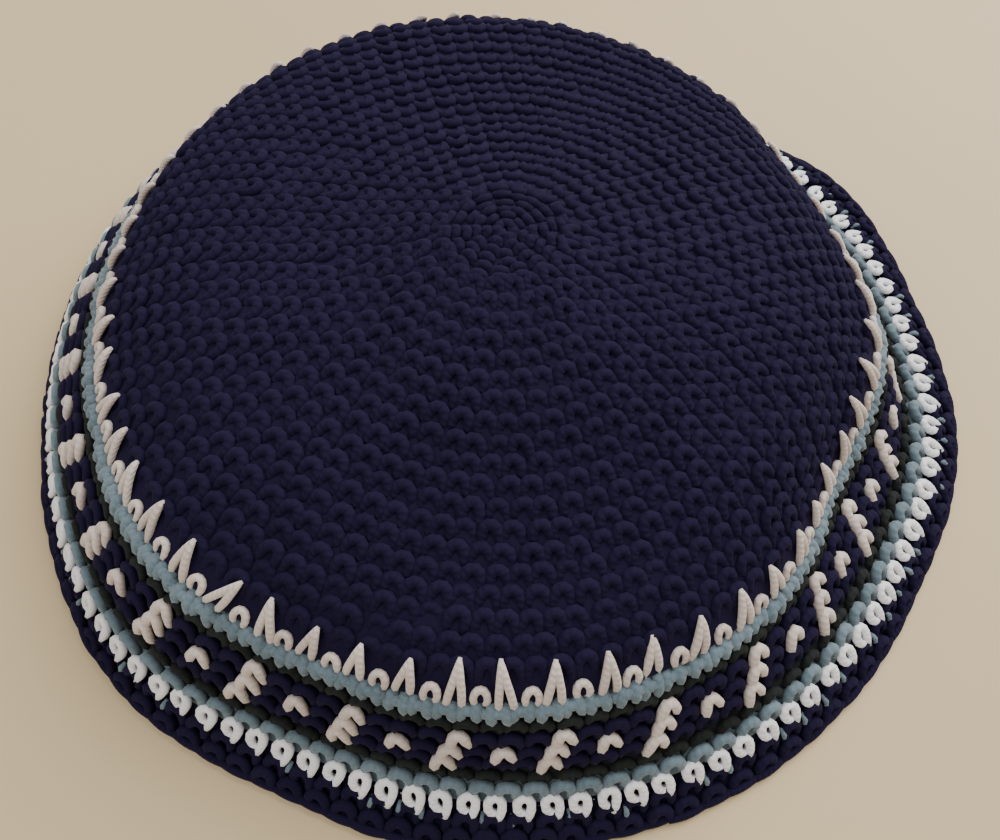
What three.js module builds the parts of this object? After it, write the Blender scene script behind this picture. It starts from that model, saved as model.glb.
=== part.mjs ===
// Crocheted skullcap in dark blue cotton with a patterned border, lying on its rim.
//
// The cap is worked in rounds from the centre of the crown outwards, and each piece is a
// stretch of rounds of one yarn. Every piece is first turned flat, as the fabric would lie
// spread out, and then bent into the cap's shape. Millimetres, +Z up, the underside of the
// rim on z = 0 and the middle of the whole cap's outline on the Z axis. The front of the
// cap looks along -Y, and its right-hand side is at +X.

import * as THREE from "three";
import { mergeVertices } from "three/addons/utils/BufferGeometryUtils.js";

// Driving dimensions
const stitchHeight = 2.8; // one round of stitches, along the wall
const capHeight = 41; // top of the crown above the surface under the rim
const wallThickness = 2.5; // fabric, measured in the grooves between rounds
const ridgeHeight = 0.4; // how far a round swells out of the grooves beside it
const pieceGap = 0.3; // clear strip between two neighbouring pieces
const restWidth = 2.4; // flat underside of the rim, from its inside to its outside

// How finely the pieces are meshed
const segmentsAround = 56;
const stepsPerRound = 6;
const plainCentreRounds = 1; // rounds at the centre that are too small to show a ridge
const roundsPerInnerStep = 2;

// Pieces from the centre to the rim, with the rounds that each one takes
const yarns = {
  darkBlue: { color: 0x14142a, roughness: 0.9 },
  cream: { color: 0xc8b9b2, roughness: 0.85 },
  paleBlue: { color: 0x7d94a0, roughness: 0.88 },
  olive: { color: 0x2d3230, roughness: 0.9 },
  white: { color: 0xe1e2e6, roughness: 0.8 },
};
const pieces = [
  { name: "crown", rounds: 22, yarn: "darkBlue" },
  { name: "spike_round", rounds: 1, yarn: "cream" },
  { name: "upper_blue_round", rounds: 1, yarn: "paleBlue" },
  { name: "upper_olive_round", rounds: 1, yarn: "olive" },
  { name: "pattern_band", rounds: 3, yarn: "darkBlue" },
  { name: "lower_olive_round", rounds: 1, yarn: "olive" },
  { name: "lower_blue_round", rounds: 1, yarn: "paleBlue" },
  { name: "white_round", rounds: 1, yarn: "white" },
  { name: "edge_rounds", rounds: 2, yarn: "darkBlue" },
];
const roundCount = pieces.reduce((sum, piece) => sum + piece.rounds, 0);
const cutRadius = roundCount * stitchHeight;

// Downward slope of the wall in degrees, by its share of the way from the centre to the rim.
// right, back and ends are added towards the right, towards the back, and towards both the
// right and the left, where the soft cap leans.
const slopes = [
  { share: 0.0, slope: 1, right: 0, back: 0, ends: 0 },
  { share: 0.12, slope: 12, right: -6, back: 7, ends: 0 },
  { share: 0.3, slope: 12, right: 2, back: 2, ends: -6 },
  { share: 0.45, slope: 13, right: 5, back: -4, ends: 0 },
  { share: 0.58, slope: 25, right: 9, back: -7, ends: 15 },
  { share: 0.7, slope: 47, right: 6, back: -1, ends: 3 },
  { share: 0.86, slope: 52, right: -9, back: -4, ends: -10 },
  { share: 1.0, slope: 49, right: -3, back: 0, ends: 0 },
];

// Dents and flares of the border: where each one is, in degrees around the cap from its
// right-hand side towards its back, and as a share of the way to the rim, how far it
// spreads each way, and how many degrees steeper it makes the wall.
const dents = [
  { azimuth: 0, width: 17, share: 0.62, reach: 0.08, steeper: -18 },
  { azimuth: 6, width: 18, share: 0.79, reach: 0.06, steeper: 18 },
  { azimuth: 6, width: 24, share: 0.92, reach: 0.08, steeper: -22 },
  { azimuth: 36, width: 11, share: 0.95, reach: 0.1, steeper: -34 },
  { azimuth: 54, width: 12, share: 0.8, reach: 0.12, steeper: 10 },
  { azimuth: 95, width: 55, share: 0.3, reach: 0.12, steeper: -7 },
  { azimuth: 92, width: 50, share: 0.635, reach: 0.05, steeper: 18 },
  { azimuth: 148, width: 28, share: 0.7, reach: 0.05, steeper: 11 },
  { azimuth: 190, width: 25, share: 0.9, reach: 0.15, steeper: 8 },
  { azimuth: 228, width: 14, share: 0.6, reach: 0.1, steeper: -7 },
  { azimuth: 250, width: 14, share: 0.62, reach: 0.08, steeper: 11 },
  { azimuth: 266, width: 26, share: 0.77, reach: 0.07, steeper: 13 },
  { azimuth: 266, width: 24, share: 0.94, reach: 0.07, steeper: -18 },
  { azimuth: 335, width: 15, share: 0.6, reach: 0.08, steeper: 12 },
  { azimuth: 335, width: 15, share: 0.78, reach: 0.08, steeper: -10 },
];

// Share of the way to the rim past which the wall is eased up or down to meet the surface
const easedFrom = 0.5;

const radians = THREE.MathUtils.degToRad;

function column(name, share) {
  const above = Math.max(1, slopes.findIndex((row) => row.share >= share));
  const low = slopes[above - 1];
  const high = slopes[above];
  const part = (share - low.share) / (high.share - low.share);
  return THREE.MathUtils.lerp(low[name], high[name], part);
}

function bell(distance, width) {
  return Math.exp(-((distance / width) ** 2));
}

function slopeAt(share, azimuth) {
  let slope = column("slope", share);
  slope += column("right", share) * Math.cos(azimuth);
  slope += column("back", share) * Math.sin(azimuth);
  slope += column("ends", share) * Math.cos(2 * azimuth);
  for (const dent of dents) {
    const turn = THREE.MathUtils.euclideanModulo(azimuth - radians(dent.azimuth) + Math.PI, 2 * Math.PI) - Math.PI;
    slope += dent.steeper * bell(turn, radians(dent.width)) * bell(share - dent.share, dent.reach);
  }
  return radians(slope);
}

// The middle of the wall from the crown's centre to the rim at one azimuth. Its outer part
// is eased up or down a little so that the rim comes to z = 0 all round.
function sectionAt(azimuth) {
  const steps = roundCount * stepsPerRound;
  const stride = cutRadius / steps;
  const radius = [0];
  const fall = [0];
  for (let step = 0; step < steps; step += 1) {
    const slope = slopeAt((step + 0.5) / steps, azimuth);
    radius.push(radius[step] + stride * Math.cos(slope));
    fall.push(fall[step] + stride * Math.sin(slope));
  }
  const top = capHeight - wallThickness / 2 - ridgeHeight;
  const spare = fall[steps] - top;
  const height = fall.map((value, step) => {
    return top - value + spare * THREE.MathUtils.smoothstep(step / steps, easedFrom, 1);
  });
  return { radius, height, steps };
}

// A place given by its distance from the centre along the wall, and its distance out of
// the middle of the wall. Where the edge flares, the inside of the wall lies on the surface.
function placeOn(section, along, offset) {
  const { radius, height, steps } = section;
  const at = Math.min((along / cutRadius) * steps, steps);
  const low = Math.min(Math.floor(at), steps - 1);
  const part = at - low;
  const run = radius[low + 1] - radius[low];
  const drop = height[low] - height[low + 1];
  const length = Math.hypot(run, drop);
  const middleRadius = radius[low] + run * part;
  const middleHeight = height[low] - drop * part;
  return {
    radius: middleRadius + (offset * drop) / length,
    height: Math.max(0, middleHeight + (offset * run) / length),
  };
}

// Bends a piece that was turned flat: its distance from the axis becomes the way along the
// wall, and its height becomes the distance out of the wall. Points at restMark are the rim's
// underside and go straight to z = 0.
const restMark = 1000;
const sections = new Map();

function bend(geometry) {
  const position = geometry.attributes.position;
  for (let index = 0; index < position.count; index += 1) {
    const x = position.getX(index);
    const z = position.getZ(index);
    const along = Math.hypot(x, z);
    const offset = position.getY(index);
    const turn = along > 0.01 ? Math.round((Math.atan2(z, x) / (2 * Math.PI)) * segmentsAround) : 0;
    const azimuth = (turn * 2 * Math.PI) / segmentsAround;
    if (!sections.has(turn)) {
      sections.set(turn, sectionAt(azimuth));
    }
    const section = sections.get(turn);
    let place = placeOn(section, along, offset);
    if (offset > restMark / 2) {
      const rim = section.radius[section.steps];
      place = { radius: rim + offset - restMark, height: 0 };
    }
    position.setXYZ(index, place.radius * Math.cos(azimuth), place.radius * Math.sin(azimuth), place.height);
  }
}

// Closed outline of a piece as it lies flat: x is the distance from the centre, y the
// distance out of the middle of the wall. The outside has a ridge for each round.
function flatOutline(firstRound, rounds, isRim) {
  const half = wallThickness / 2;
  const lastRound = firstRound + rounds;
  const start = firstRound * stitchHeight + pieceGap / 2;
  const end = lastRound * stitchHeight - (isRim ? 0 : pieceGap / 2);
  const outline = [];
  const inside = [];
  if (firstRound === 0) {
    outline.push(new THREE.Vector2(0, -half), new THREE.Vector2(0, half + ridgeHeight));
  } else {
    outline.push(new THREE.Vector2(start, -half), new THREE.Vector2(start, half));
  }
  const firstRidge = firstRound === 0 ? plainCentreRounds : firstRound;
  for (let round = firstRidge; round < lastRound; round += 1) {
    if (round > firstRound) {
      outline.push(new THREE.Vector2(round * stitchHeight, half));
    }
    outline.push(new THREE.Vector2((round + 0.5) * stitchHeight, half + ridgeHeight));
  }
  for (let round = firstRound + roundsPerInnerStep; round < lastRound; round += roundsPerInnerStep) {
    inside.push(new THREE.Vector2(round * stitchHeight, -half));
  }
  if (isRim) {
    outline.push(new THREE.Vector2(end, restMark + restWidth / 2));
    outline.push(new THREE.Vector2(end, restMark - restWidth / 2));
    inside.push(new THREE.Vector2((lastRound - 0.5) * stitchHeight, -half));
  } else {
    outline.push(new THREE.Vector2(end, half), new THREE.Vector2(end, -half));
  }
  outline.push(...inside.reverse());
  outline.push(outline[0].clone());
  return outline;
}

// Joins the seam of a turned piece and drops the empty triangles at its centre.
function closed(geometry) {
  geometry.deleteAttribute("normal");
  geometry.deleteAttribute("uv");
  const merged = mergeVertices(geometry, 0.001);
  const corners = merged.index.array;
  const kept = [];
  for (let first = 0; first < corners.length; first += 3) {
    const [a, b, c] = corners.slice(first, first + 3);
    if (a !== b && b !== c && c !== a) {
      kept.push(a, b, c);
    }
  }
  merged.setIndex(kept);
  return merged;
}

function makePiece(piece, firstRound) {
  const isRim = firstRound + piece.rounds === roundCount;
  const outline = flatOutline(firstRound, piece.rounds, isRim);
  const geometry = closed(new THREE.LatheGeometry(outline, segmentsAround));
  bend(geometry);
  geometry.computeVertexNormals();
  const yarn = yarns[piece.yarn];
  const material = new THREE.MeshStandardMaterial({ color: yarn.color, roughness: yarn.roughness, metalness: 0 });
  const mesh = new THREE.Mesh(geometry, material);
  mesh.name = piece.name;
  return mesh;
}

const cap = new THREE.Group();
cap.name = "skullcap";
let firstRound = 0;
for (const piece of pieces) {
  cap.add(makePiece(piece, firstRound));
  firstRound += piece.rounds;
}

// The middle of the outline comes to the Z axis.
const middle = new THREE.Box3().setFromObject(cap).getCenter(new THREE.Vector3());
cap.position.set(-middle.x, -middle.y, 0);
cap.updateMatrixWorld(true);

export default cap;
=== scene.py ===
"""A crocheted skullcap lying on its rim. Every stitch is a loop of cotton yarn on a soft dome,
dark blue over the crown, with a border of spike stitches, pale blue and white rounds and a
cream pattern. Metres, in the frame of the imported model."""

import math

import bpy
import numpy as np
from mathutils import Matrix, Vector


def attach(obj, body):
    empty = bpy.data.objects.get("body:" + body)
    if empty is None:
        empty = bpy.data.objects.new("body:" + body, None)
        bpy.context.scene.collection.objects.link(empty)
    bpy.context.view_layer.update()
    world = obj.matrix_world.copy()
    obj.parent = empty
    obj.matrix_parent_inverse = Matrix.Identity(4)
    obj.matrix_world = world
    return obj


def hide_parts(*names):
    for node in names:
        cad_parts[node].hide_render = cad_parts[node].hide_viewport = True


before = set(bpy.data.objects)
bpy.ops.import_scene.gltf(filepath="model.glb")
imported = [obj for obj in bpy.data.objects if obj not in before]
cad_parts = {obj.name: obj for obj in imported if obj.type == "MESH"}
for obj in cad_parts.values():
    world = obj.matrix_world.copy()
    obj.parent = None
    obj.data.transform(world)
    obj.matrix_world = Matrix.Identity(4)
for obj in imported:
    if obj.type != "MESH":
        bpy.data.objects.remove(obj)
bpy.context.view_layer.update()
bpy.ops.object.select_all(action="DESELECT")

MM = 0.001

# Sizes of the fabric in millimetres, as the solids have them
ROUND_HEIGHT = 2.8
CAP_HEIGHT = 41.0
WALL_THICKNESS = 2.5
RIDGE_HEIGHT = 0.4

# The rounds of each piece, from the centre of the crown to the rim
PIECES = [
    {"node": "crown", "rounds": 22, "yarn": "dark_blue"},
    {"node": "spike_round", "rounds": 1, "yarn": "cream"},
    {"node": "upper_blue_round", "rounds": 1, "yarn": "pale_blue"},
    {"node": "upper_olive_round", "rounds": 1, "yarn": "olive"},
    {"node": "pattern_band", "rounds": 3, "yarn": "dark_blue"},
    {"node": "lower_olive_round", "rounds": 1, "yarn": "olive"},
    {"node": "lower_blue_round", "rounds": 1, "yarn": "pale_blue"},
    {"node": "white_round", "rounds": 1, "yarn": "white"},
    {"node": "edge_rounds", "rounds": 2, "yarn": "dark_blue"},
]
ROUNDS = sum(piece["rounds"] for piece in PIECES)
CROWN_ROUNDS = PIECES[0]["rounds"]

# Stretches of the dense fabric behind the loops, in rounds, and the piece that each is part of
WALLS = {
    "crown": (0, 23),
    "upper_blue_round": (23, 24),
    "upper_olive_round": (24, 25),
    "pattern_band": (25, 28),
    "lower_olive_round": (28, 29),
    "lower_blue_round": (29, 30.4),
    "edge_rounds": (30.4, 33),
}
WALL_PAINTED_SHADE = -0.7         # painted shade: the fabric behind the loops is darker, for the shade in the gaps between them

# Stitches: the first round has 7, each crown round 5 more, and the border keeps the last count
FIRST_STITCHES = 7
CENTRE_ROUNDS = 3
ADDED_STITCHES = 5
BORDER_STITCHES = FIRST_STITCHES + ADDED_STITCHES * (CROWN_ROUNDS - 1)
STITCHES_PER_REPEAT = 4
BAR_PLACE = 1            # the stitch of a repeat that is cream in each round of the pattern
DOT_PLACE = 3            # the one that is cream in its middle round only
MIDDLE_ROUND = 2
FRONT = 269.8            # azimuth of a spike and a pattern bar, in degrees
DRAWN_TO = 292.0         # near here the stitches are drawn a little to one side, in degrees
DRAWN_WIDTH = 24.0
DRAWN_BY = -1.6
WHITE_SLIP = -0.15       # stitches by which the white loops lie off their even places
DRIFT = -0.25            # stitches by which each round starts before the last
FOLD = 18.0              # near here the border is folded in and draws the spikes up
FOLD_WIDTH = 48.0
DRAWN_UP = 1.6           # times their usual reach over the crown

# Slope of the wall in degrees by its share of the way to the rim, and what is added to it
# towards the right, the back, and both the right and the left
SLOPES = [
    {"share": 0.0, "slope": 1, "right": 0, "back": 0, "ends": 0},
    {"share": 0.12, "slope": 12, "right": -6, "back": 7, "ends": 0},
    {"share": 0.3, "slope": 12, "right": 2, "back": 2, "ends": -6},
    {"share": 0.45, "slope": 13, "right": 5, "back": -4, "ends": 0},
    {"share": 0.58, "slope": 25, "right": 9, "back": -7, "ends": 15},
    {"share": 0.7, "slope": 47, "right": 6, "back": -1, "ends": 3},
    {"share": 0.86, "slope": 52, "right": -9, "back": -4, "ends": -10},
    {"share": 1.0, "slope": 49, "right": -3, "back": 0, "ends": 0},
]
# Dents and flares of the border, in degrees around and shares of the way to the rim
DENTS = [
    {"azimuth": 0, "width": 17, "share": 0.62, "reach": 0.08, "steeper": -18},
    {"azimuth": 6, "width": 18, "share": 0.79, "reach": 0.06, "steeper": 18},
    {"azimuth": 6, "width": 24, "share": 0.92, "reach": 0.08, "steeper": -22},
    {"azimuth": 36, "width": 11, "share": 0.95, "reach": 0.1, "steeper": -34},
    {"azimuth": 54, "width": 12, "share": 0.8, "reach": 0.12, "steeper": 10},
    {"azimuth": 95, "width": 55, "share": 0.3, "reach": 0.12, "steeper": -7},
    {"azimuth": 92, "width": 50, "share": 0.635, "reach": 0.05, "steeper": 18},
    {"azimuth": 148, "width": 28, "share": 0.7, "reach": 0.05, "steeper": 11},
    {"azimuth": 190, "width": 25, "share": 0.9, "reach": 0.15, "steeper": 8},
    {"azimuth": 228, "width": 14, "share": 0.6, "reach": 0.1, "steeper": -7},
    {"azimuth": 250, "width": 14, "share": 0.62, "reach": 0.08, "steeper": 11},
    {"azimuth": 266, "width": 26, "share": 0.77, "reach": 0.07, "steeper": 13},
    {"azimuth": 266, "width": 24, "share": 0.94, "reach": 0.07, "steeper": -18},
    {"azimuth": 335, "width": 15, "share": 0.6, "reach": 0.08, "steeper": 12},
    {"azimuth": 335, "width": 15, "share": 0.78, "reach": 0.08, "steeper": -10},
]
EASED_FROM = 0.5

# Yarn in millimetres
YARN_RADIUS = 0.64
YARN_SIDES = 6
LOOP_REACH = 1.22        # from the middle of a stitch to the middle of each leg, at most
LOOP_SHARE = 0.34        # the same as a share of the room for a stitch
CENTRE_THICK = 1.1       # times the usual radius in the first rounds
FRONT_LEVEL = 0.6        # the loops' ground, out of the middle of the wall
BACK_LEVEL = 0.65        # the same on the inside
WALL_FRONT = 1.1         # the dense fabric behind the loops
WALL_BACK = 0.4
CLEAR_OF_TABLE = 0.1

# The fabric behind the loops, in rounds
CENTRE_DISC = 0.5
RINGS_PER_ROUND = 2

# How unlike each other the stitches are: how far one leans, stretches and slips, in shares of
# a round, and how far it rises, in millimetres. Some yarns are worked less or more evenly.
LEAN = 0.06
STRETCH = 0.05
SLIP = 0.05
RISE = 0.07
LESS_UNEVEN = 0.8
MORE_UNEVEN = 1.5
MOST_UNEVEN = 1.8

# Slow waves by which a round strays from its even course: how far, in rounds, how many times
# around the cap, and how much later in each round
WAVES = [
    {"height": 0.05, "times": 5, "later": 1.3},
    {"height": 0.035, "times": 11, "later": 2.1},
]
NEAREST_TO_CENTRE = 0.12     # rounds from the middle of the crown to any yarn

# Shapes of yarn in one stitch. Each point says how far across it is, in reaches, how far
# along the wall, in rounds from the inner edge of its round, how high, in millimetres above
# the loops' ground, and how thick the yarn is, in yarn radii.
PLAIN_LOOP = [
    (-0.8, 1.02, -0.25, 0.98),
    (-1.0, 0.68, 0.1, 1.2),
    (-1.0, 0.34, 0.36, 1.32),
    (-0.6, 0.1, 0.52, 1.38),
    (0.0, 0.0, 0.58, 1.4),
    (0.6, 0.1, 0.52, 1.38),
    (1.02, 0.34, 0.36, 1.32),
    (1.06, 0.7, 0.1, 1.2),
    (0.92, 1.04, -0.25, 0.98),
]
# The stitches nearest to the centre lie along their rounds
CENTRE_LOOP = [
    (-1.5, 0.7, -0.3, 0.8),
    (-0.8, 0.42, 0.5, 1.05),
    (0.0, 0.34, 0.65, 1.12),
    (0.8, 0.42, 0.5, 1.05),
    (1.5, 0.7, -0.3, 0.8),
]
# The upper blue round is worked so tightly that it looks like a cord with the legs of its
# stitches on it
CORD = [
    (-1.8, 0.56, 0.25, 1.3),
    (-0.9, 0.5, 0.4, 1.42),
    (0.0, 0.46, 0.45, 1.45),
    (0.9, 0.5, 0.4, 1.42),
    (1.8, 0.56, 0.25, 1.3),
]
LEG_LEFT = [
    (-0.6, 0.1, -0.2, 1.1),
    (-0.8, 0.32, 0.45, 1.32),
    (-0.88, 0.6, 0.62, 1.38),
    (-0.84, 0.88, 0.45, 1.3),
    (-0.74, 1.16, 0.0, 0.95),
    (-0.68, 1.32, -0.4, 0.7),
]
LEG_RIGHT = [
    (0.7, 0.06, -0.2, 1.1),
    (0.72, 0.28, 0.45, 1.32),
    (0.78, 0.56, 0.64, 1.38),
    (0.9, 0.86, 0.5, 1.3),
    (1.02, 1.14, 0.05, 0.95),
    (1.08, 1.3, -0.4, 0.7),
]
BLUE_LOOP = [
    (-0.9, 1.1, -0.3, 1.0),
    (-1.04, 0.74, 0.2, 1.2),
    (-0.98, 0.36, 0.6, 1.28),
    (-0.58, 0.06, 0.82, 1.32),
    (0.0, -0.04, 0.88, 1.34),
    (0.58, 0.06, 0.82, 1.32),
    (0.98, 0.36, 0.6, 1.28),
    (1.04, 0.76, 0.2, 1.2),
    (0.92, 1.12, -0.3, 1.0),
]
OLIVE_LOOP = [
    (-0.75, 1.15, -0.7, 0.9),
    (-0.94, 0.8, -0.2, 1.05),
    (-0.92, 0.5, 0.2, 1.12),
    (-0.56, 0.28, 0.45, 1.16),
    (0.0, 0.2, 0.5, 1.18),
    (0.56, 0.28, 0.45, 1.16),
    (0.92, 0.5, 0.2, 1.12),
    (0.96, 0.82, -0.2, 1.05),
    (0.82, 1.18, -0.7, 0.9),
]
CREAM_LOOP = [
    (-0.8, 1.25, -0.1, 1.0),
    (-0.86, 0.78, 0.6, 1.24),
    (-0.74, 0.28, 0.9, 1.3),
    (-0.34, -0.12, 1.0, 1.3),
    (0.22, -0.16, 1.0, 1.24),
    (0.64, 0.12, 0.95, 1.2),
    (0.94, 0.46, 0.75, 1.14),
    (1.14, 0.8, 0.3, 1.0),
    (1.2, 1.05, -0.4, 0.8),
]
WHITE_LOOP = [
    (0.46, 0.88, 0.25, 0.9),
    (0.04, 0.85, 0.6, 1.02),
    (-0.54, 0.68, 0.8, 1.1),
    (-0.84, 0.28, 0.9, 1.12),
    (-0.6, -0.12, 0.95, 1.12),
    (0.0, -0.26, 0.95, 1.12),
    (0.62, -0.1, 0.95, 1.12),
    (0.86, 0.3, 0.92, 1.12),
    (0.74, 0.76, 0.92, 1.08),
    (0.52, 1.2, 0.85, 0.74),
]
SPIKE_LEFT = [
    (-0.84, 1.34, -0.3, 0.84),
    (-0.8, 0.88, 0.6, 0.92),
    (-0.62, 0.36, 1.1, 0.95),
    (-0.36, -0.16, 1.4, 0.92),
    (-0.13, -0.64, 1.6, 0.8),
    (0.02, -0.98, 1.55, 0.46),
]
SPIKE_RIGHT = [
    (0.9, 1.36, -0.3, 0.84),
    (0.84, 0.9, 0.6, 0.92),
    (0.66, 0.36, 1.15, 0.95),
    (0.36, -0.16, 1.5, 0.92),
    (0.13, -0.62, 1.65, 0.8),
    (-0.02, -0.94, 1.55, 0.46),
]
SHORT_LOOP = [
    (-0.3, 1.22, -0.2, 0.76),
    (-0.72, 1.0, 0.4, 0.84),
    (-0.76, 0.66, 0.7, 0.87),
    (-0.44, 0.38, 0.85, 0.88),
    (0.0, 0.3, 0.88, 0.88),
    (0.44, 0.38, 0.85, 0.88),
    (0.76, 0.66, 0.7, 0.87),
    (0.74, 1.02, 0.4, 0.84),
    (0.34, 1.26, -0.2, 0.76),
]
# The very edge is drawn together by a cord of yarn
EDGE_CORD = [
    (-2.2, 0.88, 0.05, 1.1),
    (-1.1, 0.91, 0.15, 1.2),
    (0.0, 0.92, 0.2, 1.24),
    (1.1, 0.91, 0.15, 1.2),
    (2.2, 0.88, 0.05, 1.1),
]
# A short end of pale yarn that peeps out below the white round
SPECK_ROUND = 31
SPECK_SHARE = 0.6        # of the gaps between white loops that show one
SPECK = [
    (0.0, 1.0, 0.3, 0.5),
    (0.04, 1.24, 0.9, 0.6),
    (-0.02, 1.46, 0.95, 0.58),
    (0.04, 1.68, 0.4, 0.4),
]
# On the inside of the cap a stitch shows as a bar along the round, over two short legs
BACK_BAR = [
    (-1.6, 0.62, -0.5, 0.8),
    (-0.95, 0.42, 0.3, 1.0),
    (0.0, 0.34, 0.5, 1.05),
    (0.95, 0.42, 0.3, 1.0),
    (1.6, 0.62, -0.5, 0.8),
]
BACK_LEGS = [
    (-1.2, 0.5, -0.6, 0.8),
    (-0.75, 0.85, 0.1, 0.95),
    (0.0, 1.08, 0.2, 0.95),
    (0.75, 0.85, 0.1, 0.95),
    (1.2, 0.5, -0.6, 0.8),
]


class Dome:
    """The wall of the cap, worked out on a grid of rounds from the centre and azimuths."""

    STEPS_PER_ROUND = 8
    AZIMUTHS = 720
    SPARE_ROUNDS = 2     # past the rim, where loops turn under the edge

    def __init__(self):
        steps = ROUNDS * self.STEPS_PER_ROUND
        azimuth = np.radians(np.arange(self.AZIMUTHS) * 360 / self.AZIMUTHS)
        share = (np.arange(steps) + 0.5) / steps
        slope = self.slope(share[:, None], azimuth[None, :])
        stride = ROUND_HEIGHT / self.STEPS_PER_ROUND
        start = np.zeros((1, self.AZIMUTHS))
        radius = np.vstack([start, np.cumsum(np.cos(slope) * stride, axis=0)])
        fall = np.vstack([start, np.cumsum(np.sin(slope) * stride, axis=0)])
        top = CAP_HEIGHT - WALL_THICKNESS / 2 - RIDGE_HEIGHT
        eased = np.clip((np.arange(steps + 1) / steps - EASED_FROM) / (1 - EASED_FROM), 0, 1)
        eased = (eased * eased * (3 - 2 * eased))[:, None]
        height = top - fall + (fall[-1] - top) * eased
        spare = np.arange(1, self.SPARE_ROUNDS * self.STEPS_PER_ROUND + 1)[:, None]
        radius = np.vstack([radius, radius[-1] + spare * (radius[-1] - radius[-2])])
        height = np.vstack([height, height[-1] + spare * (height[-1] - height[-2])])
        rim = radius[steps]
        middle = [self.middle(rim * np.cos(azimuth)), self.middle(rim * np.sin(azimuth))]
        self.centre = np.array([-middle[0], -middle[1], 0.0])
        self.points = np.stack([radius * np.cos(azimuth), radius * np.sin(azimuth), height], -1)
        self.points += self.centre
        self.normals = self.facing(self.points)

    @staticmethod
    def middle(values):
        return (values.min() + values.max()) / 2

    @staticmethod
    def slope(share, azimuth):
        shares = [row["share"] for row in SLOPES]
        parts = {name: np.interp(share, shares, [row[name] for row in SLOPES]) for name in SLOPES[0]}
        slope = parts["slope"] + parts["right"] * np.cos(azimuth) + parts["back"] * np.sin(azimuth)
        slope = slope + parts["ends"] * np.cos(2 * azimuth)
        for dent in DENTS:
            turn = (np.degrees(azimuth) - dent["azimuth"] + 180) % 360 - 180
            around = np.exp(-((turn / dent["width"]) ** 2))
            along = np.exp(-(((share - dent["share"]) / dent["reach"]) ** 2))
            slope = slope + dent["steeper"] * around * along
        return np.radians(slope)

    @staticmethod
    def facing(points):
        outward = np.gradient(points, axis=0)
        outward[0] = outward[1]
        around = np.roll(points, -1, axis=1) - np.roll(points, 1, axis=1)
        around[0] = around[1]
        normal = np.cross(outward, around)
        return normal / np.linalg.norm(normal, axis=-1, keepdims=True)

    def at(self, rounds, azimuth):
        """Place on the middle of the wall, in millimetres, and the direction out of it."""
        row = np.clip(rounds * self.STEPS_PER_ROUND, 0, len(self.points) - 1.001)
        column = (azimuth % 360) * self.AZIMUTHS / 360
        low_row = np.floor(row).astype(int)
        low_column = np.floor(column).astype(int) % self.AZIMUTHS
        next_column = (low_column + 1) % self.AZIMUTHS
        part_row = (row - low_row)[..., None]
        part_column = (column - np.floor(column))[..., None]
        result = []
        for grid in (self.points, self.normals):
            low = grid[low_row, low_column] * (1 - part_column)
            low = low + grid[low_row, next_column] * part_column
            high = grid[low_row + 1, low_column] * (1 - part_column)
            high = high + grid[low_row + 1, next_column] * part_column
            result.append(low * (1 - part_row) + high * part_row)
        point, normal = result
        return point, normal / np.linalg.norm(normal, axis=-1, keepdims=True)


dome = Dome()
random = np.random.default_rng(18)


# Modelling


def take_mesh(piece):
    """Points and faces of a modelled piece, which is then put away."""
    mesh = piece.data
    points = np.empty(len(mesh.vertices) * 3)
    mesh.vertices.foreach_get("co", points)
    faces = {}
    for face in mesh.polygons:
        faces.setdefault(len(face.vertices), []).append(tuple(face.vertices))
    bpy.data.objects.remove(piece)
    return points.reshape(-1, 3), [np.array(block) for block in faces.values()]


def model_yarn(steps):
    """A straight length of yarn: its radius is 1 and it is steps - 1 long."""
    bpy.ops.mesh.primitive_circle_add(vertices=YARN_SIDES, radius=1, fill_type="NGON")
    bpy.ops.object.mode_set(mode="EDIT")
    bpy.ops.mesh.select_all(action="SELECT")
    for _ in range(steps - 1):
        bpy.ops.mesh.extrude_region_move(TRANSFORM_OT_translate={"value": (0, 0, 1)})
    bpy.ops.mesh.select_all(action="SELECT")
    bpy.ops.mesh.normals_make_consistent(inside=False)
    bpy.ops.object.mode_set(mode="OBJECT")
    return take_mesh(bpy.context.object)


def model_flat_fabric(start, end):
    """A flat stretch of fabric from one round to another, as thick as the wall behind the loops."""
    first = max(start, CENTRE_DISC) * ROUND_HEIGHT
    rings = math.ceil(RINGS_PER_ROUND * (end - start))
    fill = "NOTHING" if start else "TRIFAN"
    bpy.ops.mesh.primitive_circle_add(vertices=BORDER_STITCHES, radius=first, fill_type=fill)
    bpy.ops.object.mode_set(mode="EDIT")
    bpy.ops.mesh.select_mode(type="EDGE")
    bpy.ops.mesh.select_all(action="SELECT")
    if not start:
        bpy.ops.mesh.region_to_loop()
    radius = first
    for ring in range(1, rings + 1):
        wider = first + (end * ROUND_HEIGHT - first) * ring / rings
        bpy.ops.mesh.extrude_edges_move()
        bpy.ops.transform.resize(value=(wider / radius, wider / radius, 1))
        radius = wider
    bpy.ops.mesh.select_all(action="SELECT")
    bpy.ops.mesh.normals_make_consistent(inside=False)
    bpy.ops.object.mode_set(mode="OBJECT")
    disc = bpy.context.object
    thick = disc.modifiers.new("Thickness", "SOLIDIFY")
    thick.thickness = WALL_FRONT + WALL_BACK
    thick.offset = (WALL_FRONT - WALL_BACK) / thick.thickness
    bpy.ops.object.modifier_apply(modifier=thick.name)
    return take_mesh(disc)


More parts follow.
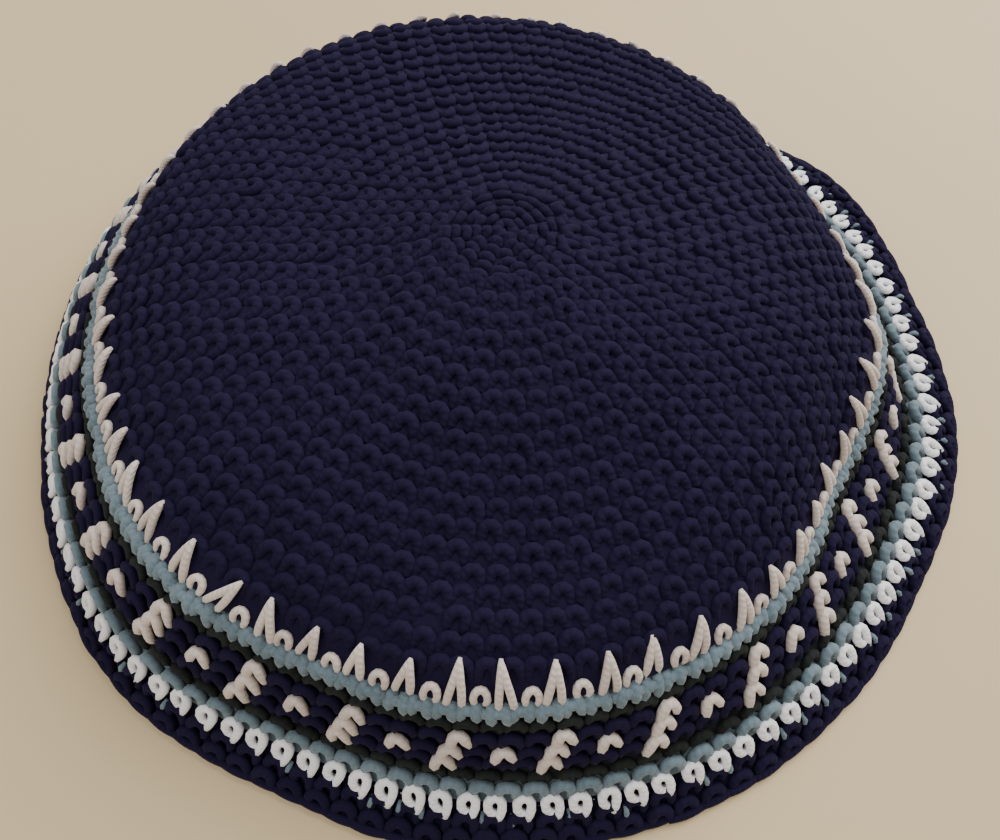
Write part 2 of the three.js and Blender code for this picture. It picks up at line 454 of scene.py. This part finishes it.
def new_mesh(name, points, faces, uvs, tones):
    """A mesh object from points in millimetres and faces as blocks of corners."""
    mesh = bpy.data.meshes.new(name)
    mesh.vertices.add(len(points))
    mesh.vertices.foreach_set("co", (points * MM).astype(np.float32).ravel())
    sizes = np.concatenate([np.full(len(block), block.shape[1]) for block in faces])
    corners = np.concatenate([block.ravel() for block in faces]).astype(np.int32)
    mesh.loops.add(len(corners))
    mesh.loops.foreach_set("vertex_index", corners)
    mesh.polygons.add(len(sizes))
    starts = np.concatenate([[0], np.cumsum(sizes)[:-1]]).astype(np.int32)
    mesh.polygons.foreach_set("loop_start", starts)
    mesh.update(calc_edges=True)
    mesh.shade_smooth()
    layer = mesh.uv_layers.new(name="Yarn")
    layer.data.foreach_set("uv", uvs[corners].astype(np.float32).ravel())
    attribute = mesh.attributes.new("tone", "FLOAT", "POINT")
    attribute.data.foreach_set("value", tones.astype(np.float32))
    mesh.validate()
    piece = bpy.data.objects.new(name, mesh)
    bpy.context.collection.objects.link(piece)
    return piece


class Yarn:
    """Lengths of one yarn, laid along paths and joined in one mesh."""

    straight = {}

    def __init__(self):
        self.points = []
        self.faces = {}
        self.uvs = []
        self.tones = []
        self.count = 0

    def add(self, points, faces, uvs, tones):
        for block in faces:
            self.faces.setdefault(block.shape[1], []).append(block + self.count)
        self.points.append(points)
        self.uvs.append(uvs)
        self.tones.append(tones)
        self.count += len(points)

    def lay(self, path, normal, radius, tone):
        """A copy of the straight length bent along each row of path."""
        many, steps = path.shape[:2]
        if steps not in Yarn.straight:
            Yarn.straight[steps] = model_yarn(steps)
        length, faces = Yarn.straight[steps]
        step = np.rint(length[:, 2]).astype(int)
        run = np.gradient(path, axis=1)
        run /= np.linalg.norm(run, axis=-1, keepdims=True)
        side = np.cross(normal, run)
        side /= np.linalg.norm(side, axis=-1, keepdims=True)
        up = np.cross(run, side)
        spread = side[:, step] * length[:, 0, None] + up[:, step] * length[:, 1, None]
        points = path[:, step] + spread * radius[:, step, None]
        moves = np.linalg.norm(np.diff(path, axis=1, prepend=path[:, :1]), axis=-1)
        travelled = np.cumsum(moves, axis=1)
        around = np.arctan2(length[:, 1], length[:, 0]) / (2 * math.pi)
        uvs = np.stack(np.broadcast_arrays(travelled[:, step], around), -1)
        shift = (np.arange(many) * len(length))[:, None, None]
        blocks = [(block[None] + shift).reshape(-1, block.shape[1]) for block in faces]
        self.add(points.reshape(-1, 3), blocks, uvs.reshape(-1, 2), np.repeat(tone, len(length)))

    def finish(self, name):
        faces = [np.concatenate(blocks) for blocks in self.faces.values()]
        parts = [np.concatenate(part) for part in (self.points, self.uvs, self.tones)]
        return new_mesh(name, parts[0], faces, parts[1], parts[2])


def smooth_path(shape, steps):
    """The points of a shape of yarn, evenly smoothed to the number of steps."""
    rows = np.array(shape)
    tangents = np.gradient(rows, axis=0)
    wanted = np.linspace(0, len(rows) - 1, steps)
    low = np.minimum(wanted.astype(int), len(rows) - 2)
    part = (wanted - low)[:, None]
    start = (2 * part ** 3 - 3 * part ** 2 + 1) * rows[low]
    start = start + (part ** 3 - 2 * part ** 2 + part) * tangents[low]
    end = (3 * part ** 2 - 2 * part ** 3) * rows[low + 1]
    end = end + (part ** 3 - part ** 2) * tangents[low + 1]
    return (start + end).T


def stitch_count(number):
    return min(FIRST_STITCHES + ADDED_STITCHES * (number - 1), BORDER_STITCHES)


def stitch_azimuths(number):
    """Azimuths of the stitches of a round. Each round starts a little before the last."""
    count = stitch_count(number)
    drift = DRIFT * (number - CROWN_ROUNDS - 1)
    azimuth = FRONT + (np.arange(count) + drift) * 360 / count
    turn = (azimuth - DRAWN_TO + 180) % 360 - 180
    return azimuth + DRAWN_BY * np.exp(-((turn / DRAWN_WIDTH) ** 2))


def wander(number, azimuth):
    """How far a round strays from its even course, in rounds."""
    turn = np.radians(azimuth)
    rounds = 0
    for wave in WAVES:
        rounds = rounds + wave["height"] * np.sin(wave["times"] * turn + number * wave["later"])
    return rounds


def work(
    yarn, number, azimuths, shapes, level, steps=10, uneven=1.0, thick=1.0, front=True, tall=1.0
):
    """Adds a stitch at each azimuth of a round, with a length of yarn for each shape. What
    reaches over the round before is as many times longer as tall says."""
    many = len(azimuths)
    lean = random.normal(0, LEAN * uneven, many)[:, None]
    stretch = 1 + random.normal(0, STRETCH * uneven, many)[:, None]
    rise = random.normal(0, RISE * uneven, many)[:, None]
    slip = random.normal(0, SLIP * uneven, many)[:, None]
    tone = random.normal(0, 1, many)
    middle, _ = dome.at(np.full(many, number - 0.5), azimuths)
    girth = np.hypot(middle[:, 0] - dome.centre[0], middle[:, 1] - dome.centre[1])[:, None]
    room = 2 * math.pi * girth / stitch_count(number)
    reach = np.minimum(LOOP_REACH, LOOP_SHARE * room)
    way = 1 if front else -1
    for shape in shapes:
        across, along, lift, girths = smooth_path(shape, steps)
        along = np.where(along < 0, along * tall, along)
        sideways = across * reach + (slip + lean * (along - 0.5)) * ROUND_HEIGHT
        azimuth = azimuths[:, None] + np.degrees(sideways / girth)
        rounds = number - 1 + along * stretch + wander(number, azimuths)[:, None]
        point, normal = dome.at(np.maximum(rounds, NEAREST_TO_CENTRE), azimuth)
        path = point + normal * (way * (level + lift + rise))[..., None]
        radius = np.broadcast_to(YARN_RADIUS * thick * girths, path.shape[:2])
        path[..., 2] = np.maximum(path[..., 2], radius + CLEAR_OF_TABLE)
        yarn.lay(path, normal * way, radius, tone)


# Materials


class Value:
    """A socket of a shader that takes part in sums as a number does."""

    def __init__(self, shader, socket):
        self.shader = shader
        self.socket = socket

    def sum(self, operation, first, second):
        return self.shader.node("ShaderNodeMath", {"operation": operation}, {0: first, 1: second})

    def __add__(self, other):
        return self.sum("ADD", self, other)

    def __sub__(self, other):
        return self.sum("SUBTRACT", self, other)

    def __rsub__(self, other):
        return self.sum("SUBTRACT", other, self)

    def __mul__(self, other):
        return self.sum("MULTIPLY", self, other)

    __radd__ = __add__
    __rmul__ = __mul__


class Shader:
    """One material and a short way of adding nodes to it."""

    def __init__(self, name):
        self.material = bpy.data.materials.new(name)
        self.material.use_nodes = True
        self.tree = self.material.node_tree
        self.surface = self.tree.nodes["Principled BSDF"]

    def node(self, kind, settings=None, sockets=None, output=0):
        node = self.tree.nodes.new(kind)
        for name, value in (settings or {}).items():
            setattr(node, name, value)
        for name, value in (sockets or {}).items():
            self.feed(node.inputs[name], value)
        return Value(self, node.outputs[output])

    def feed(self, socket, value):
        if isinstance(value, Value):
            self.tree.links.new(value.socket, socket)
        else:
            socket.default_value = value

    def put(self, **values):
        for name, value in values.items():
            self.feed(self.surface.inputs[name.replace("_", " ")], value)

    def noise(self, place, scale, detail):
        sockets = {"Vector": place, "Scale": scale, "Detail": detail}
        return self.node("ShaderNodeTexNoise", None, sockets)

    def mix(self, factor, first, second):
        sockets = {0: factor, 6: first, 7: second}
        return self.node("ShaderNodeMix", {"data_type": "RGBA"}, sockets, output=2)


PLY_LENGTH = 0.9         # millimetres along the yarn from one ply to the next
FIBRE_SCALE = 2600.0     # a fibre every 0.4 mm
PATCH_SCALE = 60.0       # the dye changes over 17 mm
COTTON_ROUGHNESS = 0.85
RELIEF = 0.00015         # metres that plies and fibres stand out
PLY_RELIEF = 0.5
FIBRE_RELIEF = 0.6

# How much each of these lightens the yarn
PATCH_TONE = 0.9
FIBRE_TONE = 0.8
STITCH_TONE_AND_WALL_SHADE = 0.1
# painted shade: the yarn is darker in the grooves between its plies and lighter on their crests
PLY_GROOVE_SHADE = 0.08


def yarn_material(name, shade, light, sheen=0.3, tint=(1, 1, 1)):
    """Twisted cotton: plies and fibres in relief, painted shade in the grooves between plies, and
    every stitch a little different.
    """
    shader = Shader(name)
    place = shader.node("ShaderNodeTexCoord", output="Object")
    uv = shader.node("ShaderNodeUVMap", {"uv_map": "Yarn"})
    parts = shader.tree.nodes.new("ShaderNodeSeparateXYZ")
    shader.feed(parts.inputs[0], uv)
    along = Value(shader, parts.outputs[0])
    around = Value(shader, parts.outputs[1])
    turn = (along * (1 / PLY_LENGTH) + around) * (2 * math.pi)
    ply = shader.node("ShaderNodeMath", {"operation": "SINE"}, {0: turn})
    fibres = shader.noise(place, FIBRE_SCALE, detail=3.0)
    patches = shader.noise(place, PATCH_SCALE, detail=2.0)
    tone = shader.node("ShaderNodeAttribute", {"attribute_name": "tone"}, output="Fac")
    dye = (patches - 0.5) * PATCH_TONE + (fibres - 0.5) * FIBRE_TONE
    # the tone attribute holds each stitch's own random tone, and painted shade on the fabric behind
    # the loops
    lightness = dye + tone * STITCH_TONE_AND_WALL_SHADE + ply * PLY_GROOVE_SHADE + 0.5
    factor = shader.node("ShaderNodeClamp", None, {"Value": lightness})
    colour = shader.mix(factor, (*shade, 1), (*light, 1))
    height = ply * PLY_RELIEF + fibres * FIBRE_RELIEF
    bump = {"Strength": 0.5, "Distance": RELIEF, "Height": height}
    normal = shader.node("ShaderNodeBump", None, bump)
    shader.put(Base_Color=colour, Roughness=COTTON_ROUGHNESS, Normal=normal, Sheen_Weight=sheen)
    shader.put(Specular_IOR_Level=0.1, Sheen_Roughness=0.5, Sheen_Tint=(*tint, 1))
    return shader.material


NIGHT = (0.008, 0.0056, 0.0225)
NIGHT_LIGHT = (0.0115, 0.0082, 0.031)
NIGHT_SHEEN = (0.06, 0.058, 0.145)
OLIVE = (0.008, 0.0105, 0.01)
OLIVE_LIGHT = (0.023, 0.027, 0.026)
MATERIALS = {
    "dark_blue": yarn_material("dark blue cotton", NIGHT, NIGHT_LIGHT, sheen=0.24, tint=NIGHT_SHEEN),
    "cream": yarn_material("cream cotton", (0.5, 0.42, 0.38), (0.78, 0.68, 0.62)),
    "pale_blue": yarn_material("pale blue cotton", (0.088, 0.13, 0.158), (0.18, 0.25, 0.296)),
    "olive": yarn_material("olive grey cotton", OLIVE, OLIVE_LIGHT, sheen=0.03),
    "white": yarn_material("white cotton", (0.78, 0.79, 0.82), (0.93, 0.93, 0.95)),
}


def finish_piece(piece, yarn, node=None):
    piece.data.materials.append(MATERIALS[yarn])
    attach(piece, "root")
    if node:
        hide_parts(node)


# The cap, worked round by round


def add_wall(yarn, start, end):
    """The dense fabric behind the loops: a flat stretch, bent on the dome and darkened with painted
    shade.
    """
    points, faces = model_flat_fabric(start, end)
    rounds = np.hypot(points[:, 0], points[:, 1]) / ROUND_HEIGHT
    azimuth = np.degrees(np.arctan2(points[:, 1], points[:, 0]))
    place, normal = dome.at(rounds, azimuth)
    place = place + normal * points[:, 2:]
    place[:, 2] = np.maximum(place[:, 2], CLEAR_OF_TABLE)
    # painted shade: the fabric behind the loops gets a darker tone, for the shade in the gaps
    # between loops
    yarn.add(place, faces, np.zeros((len(points), 2)), np.full(len(points), WALL_PAINTED_SHADE))


def pattern_places(number, first):
    """Which stitches of a pattern round are cream: a bar of three, and a dot between bars."""
    azimuths = stitch_azimuths(number)
    place = np.arange(len(azimuths)) % STITCHES_PER_REPEAT
    cream = place == BAR_PLACE
    if number == first + MIDDLE_ROUND:
        cream = cream | (place == DOT_PLACE)
    return azimuths[cream], azimuths[~cream]


# The outer stitches of the pieces in which all stitches of a round are alike
OUTER_STITCHES = {
    "crown": {"shapes": [PLAIN_LOOP], "uneven": MORE_UNEVEN},
    "upper_blue_round": {"shapes": [CORD, LEG_LEFT, LEG_RIGHT], "steps": 7, "uneven": MOST_UNEVEN},
    "upper_olive_round": {"shapes": [OLIVE_LOOP]},
    "lower_olive_round": {"shapes": [OLIVE_LOOP]},
    "lower_blue_round": {"shapes": [BLUE_LOOP]},
    "white_round": {"shapes": [WHITE_LOOP], "steps": 12, "uneven": LESS_UNEVEN},
    "edge_rounds": {"shapes": [PLAIN_LOOP]},
}


def work_spikes(yarn, number, azimuths):
    """Long pointed spikes with a short loop between each two."""
    spikes = azimuths[0::2]
    folded = np.abs((spikes - FOLD + 180) % 360 - 180) < FOLD_WIDTH
    spike = [SPIKE_LEFT, SPIKE_RIGHT]
    for some, tall in ((spikes[~folded], 1.0), (spikes[folded], DRAWN_UP)):
        work(yarn, number, some, spike, FRONT_LEVEL, steps=8, uneven=MOST_UNEVEN, tall=tall)
    work(yarn, number, azimuths[1::2], [SHORT_LOOP], FRONT_LEVEL, steps=11)


def work_front(node, number, first, yarn, cream):
    """The outer side of one round."""
    azimuths = stitch_azimuths(number)
    if number <= CENTRE_ROUNDS:
        for row in (number, number + 0.5):
            work(yarn, row, azimuths, [CENTRE_LOOP], FRONT_LEVEL, steps=7, thick=CENTRE_THICK)
    elif node == "spike_round":
        work_spikes(yarn, number, azimuths)
    elif node == "pattern_band":
        light, dark = pattern_places(number, first)
        work(cream, number, light, [CREAM_LOOP], FRONT_LEVEL, steps=11)
        work(yarn, number, dark, [PLAIN_LOOP], FRONT_LEVEL)
    else:
        if node == "white_round":
            azimuths = azimuths + WHITE_SLIP * 360 / BORDER_STITCHES
        work(yarn, number, azimuths, level=FRONT_LEVEL, **OUTER_STITCHES[node])
    if number == ROUNDS:
        work(yarn, number, azimuths, [EDGE_CORD], FRONT_LEVEL, steps=7)


def work_inside(node, number, first, yarn, cream):
    """The inner side of one round."""
    stitch = [BACK_BAR, BACK_LEGS]
    azimuths = stitch_azimuths(number)
    if node == "pattern_band":
        light, azimuths = pattern_places(number, first)
        work(cream, number, light, stitch, BACK_LEVEL, steps=6, front=False)
    work(yarn, number, azimuths, stitch, BACK_LEVEL, steps=6, front=False)


def make_piece(piece, first):
    """The outer and inner side of one stretch of rounds."""
    node = piece["node"]
    outer = Yarn()
    inner = Yarn()
    cream = Yarn()
    if node in WALLS:
        add_wall(outer, *WALLS[node])
    for number in range(first + 1, first + piece["rounds"] + 1):
        work_front(node, number, first, outer, cream)
        work_inside(node, number, first, inner, cream)
    finish_piece(outer.finish(f"{node}_stitches"), piece["yarn"], node)
    finish_piece(inner.finish(f"{node}_inside"), piece["yarn"])
    if cream.count:
        finish_piece(cream.finish("pattern_cream_stitches"), "cream")


def make_specks():
    """Ends of pale yarn between the white loops, here and there."""
    between = (0.5 + WHITE_SLIP) * 360 / BORDER_STITCHES
    azimuths = stitch_azimuths(SPECK_ROUND) + between
    azimuths = azimuths[random.random(len(azimuths)) < SPECK_SHARE]
    yarn = Yarn()
    work(yarn, SPECK_ROUND, azimuths, [SPECK], FRONT_LEVEL, steps=5, uneven=MORE_UNEVEN)
    finish_piece(yarn.finish("pale_yarn_ends"), "pale_blue")


done = 0
for piece in PIECES:
    make_piece(piece, done)
    done += piece["rounds"]
make_specks()


# Floor, light and camera


FLOOR_SIZE = 3           # metres
FLOOR_SCALE = 9.0        # the table's shade changes over 11 cm
FLOOR_ROUGHNESS = 0.6
FLOOR_SHADE = (0.56, 0.43, 0.245, 1)
FLOOR_LIGHT = (0.62, 0.483, 0.28, 1)


def make_floor():
    bpy.ops.mesh.primitive_plane_add(size=FLOOR_SIZE, location=(0, 0, 0))
    floor = bpy.context.object
    floor.name = "floor"
    shader = Shader("pale table")
    place = shader.node("ShaderNodeTexCoord", output="Object")
    cloud = shader.noise(place, FLOOR_SCALE, detail=2.0)
    shader.put(Base_Color=shader.mix(cloud, FLOOR_SHADE, FLOOR_LIGHT), Roughness=FLOOR_ROUGHNESS)
    floor.data.materials.append(shader.material)


def add_area(name, place, size, power):
    """A square light that looks at the middle of the table. Metres and watts."""
    light = bpy.data.lights.new(name, "AREA")
    light.size = size
    light.energy = power
    lamp = bpy.data.objects.new(name, light)
    lamp.location = place
    lamp.rotation_euler = (-Vector(place)).to_track_quat("-Z", "Y").to_euler()
    bpy.context.collection.objects.link(lamp)


def set_world(strength, colour):
    world = bpy.data.worlds.new("studio")
    world.use_nodes = True
    background = world.node_tree.nodes["Background"]
    background.inputs["Color"].default_value = (*colour, 1)
    background.inputs["Strength"].default_value = strength
    bpy.context.scene.world = world


# The camera of the photograph, in pixels, degrees, and millimetres from the middle of the crown
# on the table
PHOTO_WIDTH = 1000
FOCAL_PIXELS = 950
CAMERA_ELEVATION = 62.2
CAMERA_ROLL = -5.2
CAMERA_DISTANCE = 170.0
SENSOR_WIDTH = 36.0
CLIP_START = 0.005       # metres
TARGET_RIGHT = 1.6
TARGET_UP = -7.9


def add_camera():
    elevation = math.radians(CAMERA_ELEVATION)
    roll = math.radians(CAMERA_ROLL)
    towards = Vector((0, -math.cos(elevation), math.sin(elevation)))
    right = Vector((1, 0, 0))
    up = towards.cross(right)
    target = Vector(dome.centre) + right * TARGET_RIGHT + up * TARGET_UP
    side = right * math.cos(roll) - up * math.sin(roll)
    top = right * math.sin(roll) + up * math.cos(roll)
    data = bpy.data.cameras.new("camera")
    data.sensor_width = SENSOR_WIDTH
    data.lens = SENSOR_WIDTH * FOCAL_PIXELS / PHOTO_WIDTH
    data.clip_start = CLIP_START
    camera = bpy.data.objects.new("camera", data)
    place = (target + towards * CAMERA_DISTANCE) * MM
    turned = Matrix((side, top, towards)).transposed().to_4x4()
    camera.matrix_world = Matrix.Translation(place) @ turned
    bpy.context.collection.objects.link(camera)
    bpy.context.scene.camera = camera


make_floor()
add_area("window", place=(0.3, 0.4, 0.5), size=0.6, power=7.0)
add_area("room", place=(-0.5, -0.3, 0.8), size=0.9, power=4.0)
set_world(strength=0.6, colour=(1.0, 0.95, 0.87))
add_camera()
